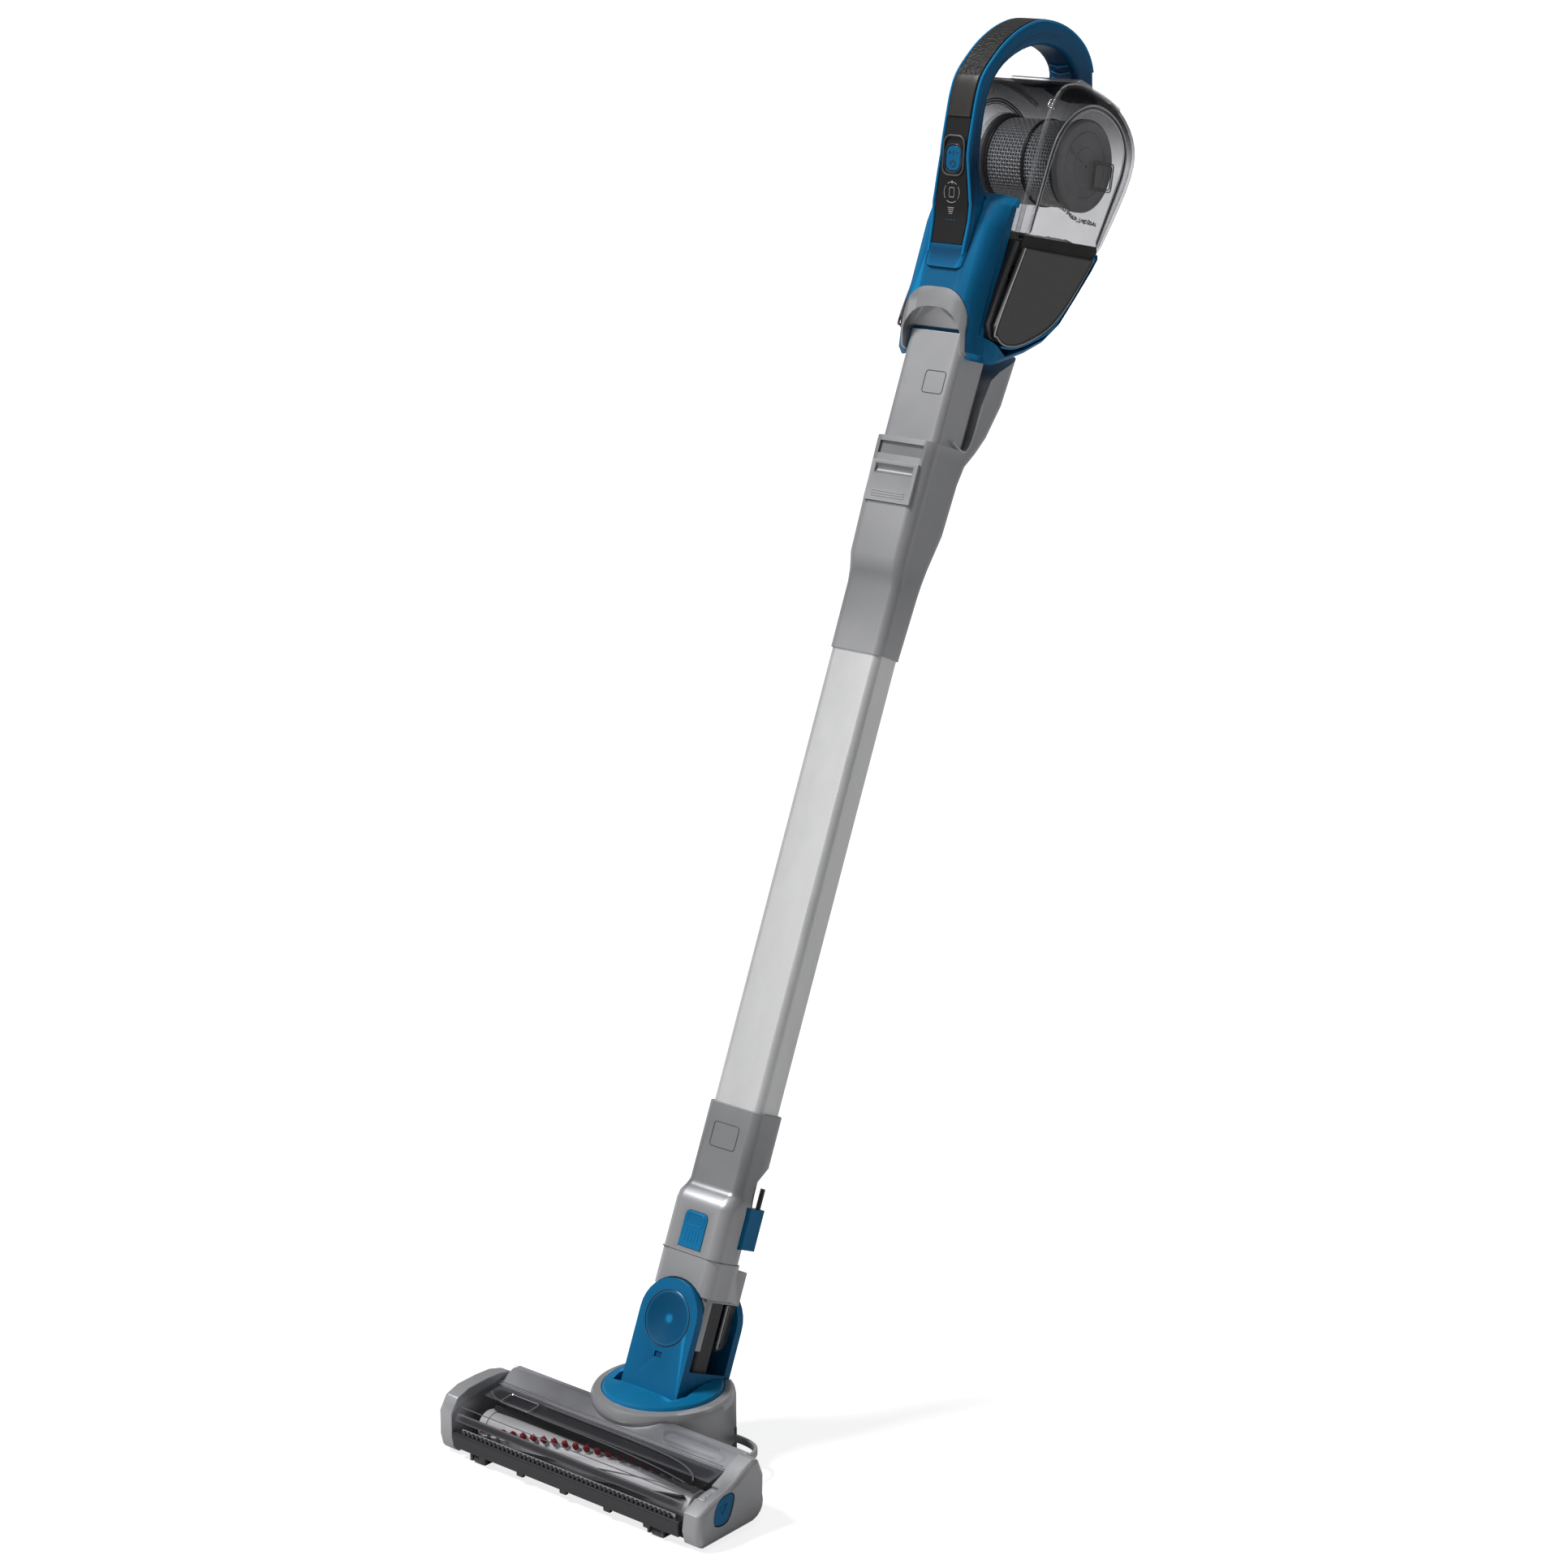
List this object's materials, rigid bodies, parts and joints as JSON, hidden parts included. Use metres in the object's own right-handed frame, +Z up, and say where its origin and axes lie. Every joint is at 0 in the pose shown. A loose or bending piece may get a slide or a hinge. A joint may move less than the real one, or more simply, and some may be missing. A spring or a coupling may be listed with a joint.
{
  "type": "cordless stick vacuum",
  "caption": "Cordless stick vacuum: roller floor head with swivel neck, flat aluminium wand and a lift-off hand unit with clear dust bowl.",
  "frame": {"origin": "on the floor under the middle of the object's footprint, as it leans in the picture", "axes": "+X along the floor head towards the end with the brush release button, -Y the front of the floor head, the wand leans back towards +Y, +Z up"},
  "size_m": [0.269, 0.631, 1.0598],
  "materials": {
    "blue_gloss": "smooth gloss",
    "deep_blue": "satin",
    "silver_plastic": "satin silver paint",
    "tube_aluminium": "anodised satin",
    "dark_plastic": "fine texture",
    "black_gloss": "gloss",
    "clear_plastic": "clear",
    "smoke_plastic": "smoked clear",
    "red_bristle": "nylon tufts",
    "steel": "brushed",
    "soft_rubber": "matt",
    "white_plastic": "matt"
  },
  "bodies": {
    "wand": {"wand_tube": "tube_aluminium", "upper_socket": "silver_plastic"},
    "hand_unit": {"handheld_body": "blue_gloss", "handle_shell": "deep_blue", "handle_grip": "soft_rubber", "control_panel": "black_gloss", "nozzle_duct": "silver_plastic", "nozzle_cover": "silver_plastic", "side_panel_left": "dark_plastic", "side_panel_right": "dark_plastic", "motor_case": "black_gloss", "suction_motor": "steel", "battery_pack": "silver_plastic", "circuit_board": "deep_blue", "dust_bowl": "clear_plastic"},
    "power_button": {"power_button": "blue_gloss"},
    "impeller": {"impeller": "white_plastic"},
    "bowl_door": {"bowl_door": "clear_plastic"},
    "bowl_latch": {"bowl_latch": "silver_plastic"},
    "filter": {"filter_mesh": "dark_plastic", "filter_frame": "smoke_plastic", "filter_end_cap": "dark_plastic"},
    "socket_button": {"socket_button": "silver_plastic", "socket_button_spring": "steel"},
    "neck": {"neck_shell": "silver_plastic", "neck_lower_shell": "silver_plastic", "neck_duct": "dark_plastic", "duct_cover": "clear_plastic", "contact_block": "blue_gloss", "contact_pin_left": "steel", "contact_pin_right": "steel"},
    "neck_button": {"neck_button": "blue_gloss", "neck_button_spring": "steel"},
    "fork": {"fork": "blue_gloss", "pivot_cap_front": "blue_gloss", "pivot_cap_rear": "blue_gloss"},
    "head": {"head_base": "dark_plastic", "head_cover": "silver_plastic", "swivel_bezel": "blue_gloss", "end_cap_left": "silver_plastic", "end_cap_right": "silver_plastic", "brush_window": "clear_plastic", "window_tint": "smoke_plastic", "front_bumper": "black_gloss", "brush_motor": "steel", "drive_belt": "soft_rubber", "pitch_axle": "steel", "rear_loop_left": "dark_plastic", "rear_loop_right": "dark_plastic"},
    "brush": {"brush_roll": "white_plastic", "bristle_row_a": "red_bristle", "bristle_row_b": "red_bristle", "brush_pulley": "dark_plastic"},
    "motor_spindle": {"motor_pulley": "steel"},
    "brush_button": {"brush_release_button": "blue_gloss"},
    "window_latch": {"window_latch": "silver_plastic"},
    "front_roller_left": {"front_roller_left": "dark_plastic"},
    "front_roller_right": {"front_roller_right": "dark_plastic"},
    "rear_wheel_left": {"rear_wheel_left": "soft_rubber"},
    "rear_wheel_right": {"rear_wheel_right": "soft_rubber"}
  },
  "joints": [
    {"name": "hand_unit_lift_off", "type": "slide", "parent": "wand", "child": "hand_unit", "axis": [0, 0.3859, 0.9225], "range_m": [0, 0.15]},
    {"name": "power_button_press", "type": "slide", "parent": "hand_unit", "child": "power_button", "axis": [0, 0.9959, -0.0906], "range_m": [0, 0.0015], "stiffness_N_per_m": 400},
    {"name": "impeller_spin", "type": "hinge", "parent": "hand_unit", "child": "impeller", "pos_m": [0, 0.17247, 0.85929], "axis": [1, 0, 0], "continuous": true},
    {"name": "bowl_door_open", "type": "hinge", "parent": "hand_unit", "child": "bowl_door", "pos_m": [0.0484, 0.21209, 0.89182], "axis": [0, 0.9792, -0.2028], "range_deg": [0, 100]},
    {"name": "bowl_latch_press", "type": "slide", "parent": "hand_unit", "child": "bowl_latch", "axis": [0, -0.9225, 0.3859], "range_m": [0, 0.003], "stiffness_N_per_m": 400},
    {"name": "filter_twist", "type": "hinge", "parent": "hand_unit", "child": "filter", "pos_m": [0, 0.24498, 0.94712], "axis": [1, 0, 0], "range_deg": [0, 45]},
    {"name": "socket_button_press", "type": "slide", "parent": "wand", "child": "socket_button", "axis": [0, 0.9225, -0.3859], "range_m": [0, 0.0025], "stiffness_N_per_m": 600, "deforming": ["socket_button_spring"]},
    {"name": "neck_pull_off", "type": "slide", "parent": "wand", "child": "neck", "axis": [0, -0.3859, -0.9225], "range_m": [0, 0.045]},
    {"name": "neck_button_press", "type": "slide", "parent": "neck", "child": "neck_button", "axis": [0, 0.9225, -0.3859], "range_m": [0, 0.0025], "stiffness_N_per_m": 600, "deforming": ["neck_button_spring"]},
    {"name": "neck_swivel", "type": "hinge", "parent": "neck", "child": "fork", "pos_m": [0, -0.17098, 0.09785], "axis": [0, 0.9225, -0.3859], "range_deg": [-50, 50]},
    {"name": "head_pitch", "type": "hinge", "parent": "fork", "child": "head", "pos_m": [0, -0.19521, 0.03992], "axis": [1, 0, 0], "range_deg": [-22.7, 57.3]},
    {"name": "brush_spin", "type": "hinge", "parent": "head", "child": "brush", "pos_m": [0, -0.286, 0.0195], "axis": [1, 0, 0], "continuous": true},
    {"name": "motor_spin", "type": "hinge", "parent": "head", "child": "motor_spindle", "pos_m": [-0.11, -0.2527, 0.026], "axis": [1, 0, 0], "continuous": true},
    {"name": "brush_button_press", "type": "slide", "parent": "head", "child": "brush_button", "axis": [-1, 0, 0], "range_m": [0, 0.002], "stiffness_N_per_m": 400},
    {"name": "window_latch_slide", "type": "slide", "parent": "head", "child": "window_latch", "axis": [-1, 0, 0], "range_m": [0, 0.002], "stiffness_N_per_m": 300},
    {"name": "front_roller_left_spin", "type": "hinge", "parent": "head", "child": "front_roller_left", "pos_m": [-0.092, -0.3109, 0.0042], "axis": [1, 0, 0], "continuous": true},
    {"name": "front_roller_right_spin", "type": "hinge", "parent": "head", "child": "front_roller_right", "pos_m": [0.092, -0.3109, 0.0042], "axis": [1, 0, 0], "continuous": true},
    {"name": "rear_wheel_left_spin", "type": "hinge", "parent": "head", "child": "rear_wheel_left", "pos_m": [-0.0425, -0.1925, 0.01], "axis": [1, 0, 0], "continuous": true},
    {"name": "rear_wheel_right_spin", "type": "hinge", "parent": "head", "child": "rear_wheel_right", "pos_m": [0.0425, -0.1925, 0.01], "axis": [1, 0, 0], "continuous": true}
  ],
  "couplings": [
    {"joint": "motor_spin", "follows": "brush_spin", "ratio": 2.0952}
  ]
}
